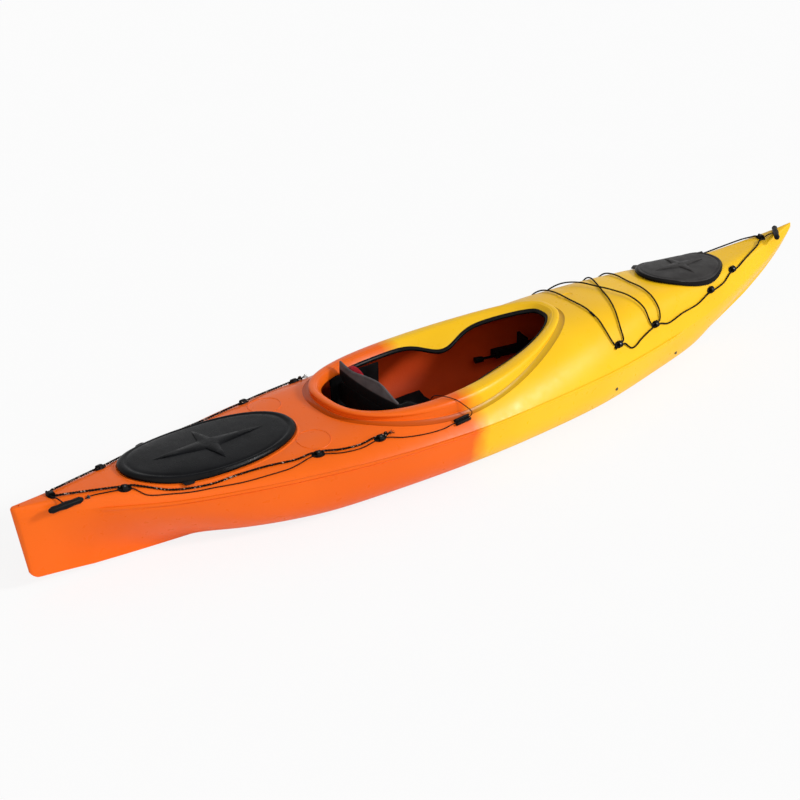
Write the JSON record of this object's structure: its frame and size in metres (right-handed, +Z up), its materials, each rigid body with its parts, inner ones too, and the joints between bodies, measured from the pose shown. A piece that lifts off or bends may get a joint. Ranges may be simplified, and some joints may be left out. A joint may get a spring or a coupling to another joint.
{
  "type": "sea kayak",
  "caption": "Sit-in touring kayak: hollow moulded hull and deck with an oval coamed cockpit, hatches with lift-off covers, folding backrest, sliding foot braces, deck lines and carry toggles.",
  "frame": {"origin": "on the surface the keel rests on, below the middle of the hull's length and beam", "axes": "+X towards the bow, +Y to port, +Z up"},
  "size_m": [3.6, 0.6728, 0.4268],
  "materials": {
    "hull_plastic": "satin rotomoulded plastic, orange stern half and yellow bow half",
    "stern_cover_rubber": "satin black rubber",
    "bow_cover_rubber": "satin dark grey rubber",
    "trim_rubber": "satin black edge trim",
    "bulkhead_foam": "matt black closed foam",
    "seat_fabric": "black mesh fabric",
    "pad_fabric": "red woven fabric",
    "backrest_plastic": "dark grey grained plastic",
    "cord": "braided black cord with light flecks",
    "steel": "stainless steel",
    "black_plastic": "matt black moulded plastic"
  },
  "bodies": {
    "hull": {"hull_and_deck": "hull_plastic", "cockpit_edge_trim": "trim_rubber", "seat_bulkhead": "bulkhead_foam", "seat_pan": "black_plastic", "seat_cushion": "seat_fabric", "seat_hanger_port": "black_plastic", "seat_hanger_starboard": "black_plastic", "foot_brace_rail_port": "black_plastic", "foot_brace_bolt_rear_port": "steel", "foot_brace_bolt_front_port": "steel", "foot_brace_rail_starboard": "black_plastic", "foot_brace_bolt_rear_starboard": "steel", "foot_brace_bolt_front_starboard": "steel", "stern_side_fitting_1_port": "black_plastic", "stern_side_fitting_1_starboard": "black_plastic", "stern_side_fitting_2_port": "black_plastic", "stern_side_fitting_2_starboard": "black_plastic", "stern_side_fitting_3_port": "black_plastic", "stern_side_fitting_3_starboard": "black_plastic", "bow_side_fitting_1_port": "black_plastic", "bow_side_fitting_1_starboard": "black_plastic", "bow_side_fitting_2_port": "black_plastic", "bow_side_fitting_2_starboard": "black_plastic", "bow_side_fitting_3_port": "black_plastic", "bow_side_fitting_3_starboard": "black_plastic", "bow_side_fitting_4_port": "black_plastic", "bow_side_fitting_4_starboard": "black_plastic", "stern_end_fitting": "black_plastic", "bow_end_fitting": "black_plastic", "stern_perimeter_line": "cord", "bow_perimeter_line": "cord", "foredeck_bungee": "cord", "bungee_sleeve": "black_plastic", "line_cleat": "black_plastic", "stern_line_eye": "steel", "starboard_deck_line": "cord", "starboard_line_tail": "cord", "stern_toggle_knot": "cord", "bow_toggle_knot": "cord"},
    "stern_hatch": {"stern_hatch_cover": "stern_cover_rubber"},
    "bow_hatch": {"bow_hatch_cover": "bow_cover_rubber"},
    "backrest": {"backrest_panel": "backrest_plastic", "backrest_frame": "black_plastic", "backrest_pad": "pad_fabric"},
    "pedal_port": {"foot_pedal_port": "black_plastic"},
    "pedal_starboard": {"foot_pedal_starboard": "black_plastic"},
    "rod_port": {"foot_brace_rod_port": "black_plastic"},
    "rod_starboard": {"foot_brace_rod_starboard": "black_plastic"},
    "stern_toggle": {"stern_toggle": "black_plastic"},
    "bow_toggle": {"bow_toggle": "black_plastic"}
  },
  "joints": [
    {"name": "stern_hatch_lift", "type": "slide", "parent": "hull", "child": "stern_hatch", "axis": [0, 0, 1], "range_m": [0, 0.12]},
    {"name": "bow_hatch_lift", "type": "slide", "parent": "hull", "child": "bow_hatch", "axis": [0, 0, 1], "range_m": [0, 0.12]},
    {"name": "backrest_fold", "type": "hinge", "parent": "hull", "child": "backrest", "pos_m": [-0.396, 0, 0.176], "axis": [0, 1, 0], "range_deg": [0, 80]},
    {"name": "foot_pedal_slide_port", "type": "slide", "parent": "hull", "child": "pedal_port", "axis": [0.9874, -0.158, 0], "range_m": [0, 0.48]},
    {"name": "foot_brace_twist_port", "type": "hinge", "parent": "pedal_port", "child": "rod_port", "pos_m": [0.39035, 0.22112, 0.128], "axis": [0.9874, -0.158, 0], "range_deg": [0, 90]},
    {"name": "foot_pedal_slide_starboard", "type": "slide", "parent": "hull", "child": "pedal_starboard", "axis": [0.9874, 0.158, 0], "range_m": [0, 0.48]},
    {"name": "foot_brace_twist_starboard", "type": "hinge", "parent": "pedal_starboard", "child": "rod_starboard", "pos_m": [0.39035, -0.22112, 0.128], "axis": [0.9874, 0.158, 0], "range_deg": [0, 90]},
    {"name": "stern_toggle_swing", "type": "hinge", "parent": "hull", "child": "stern_toggle", "pos_m": [-1.66435, -0.015, 0.34013], "axis": [-1, 0, 0], "range_deg": [0, 100]},
    {"name": "bow_toggle_swing", "type": "hinge", "parent": "hull", "child": "bow_toggle", "pos_m": [1.6278, -0.015, 0.40066], "axis": [0, -1, 0], "range_deg": [0, 100]}
  ]
}
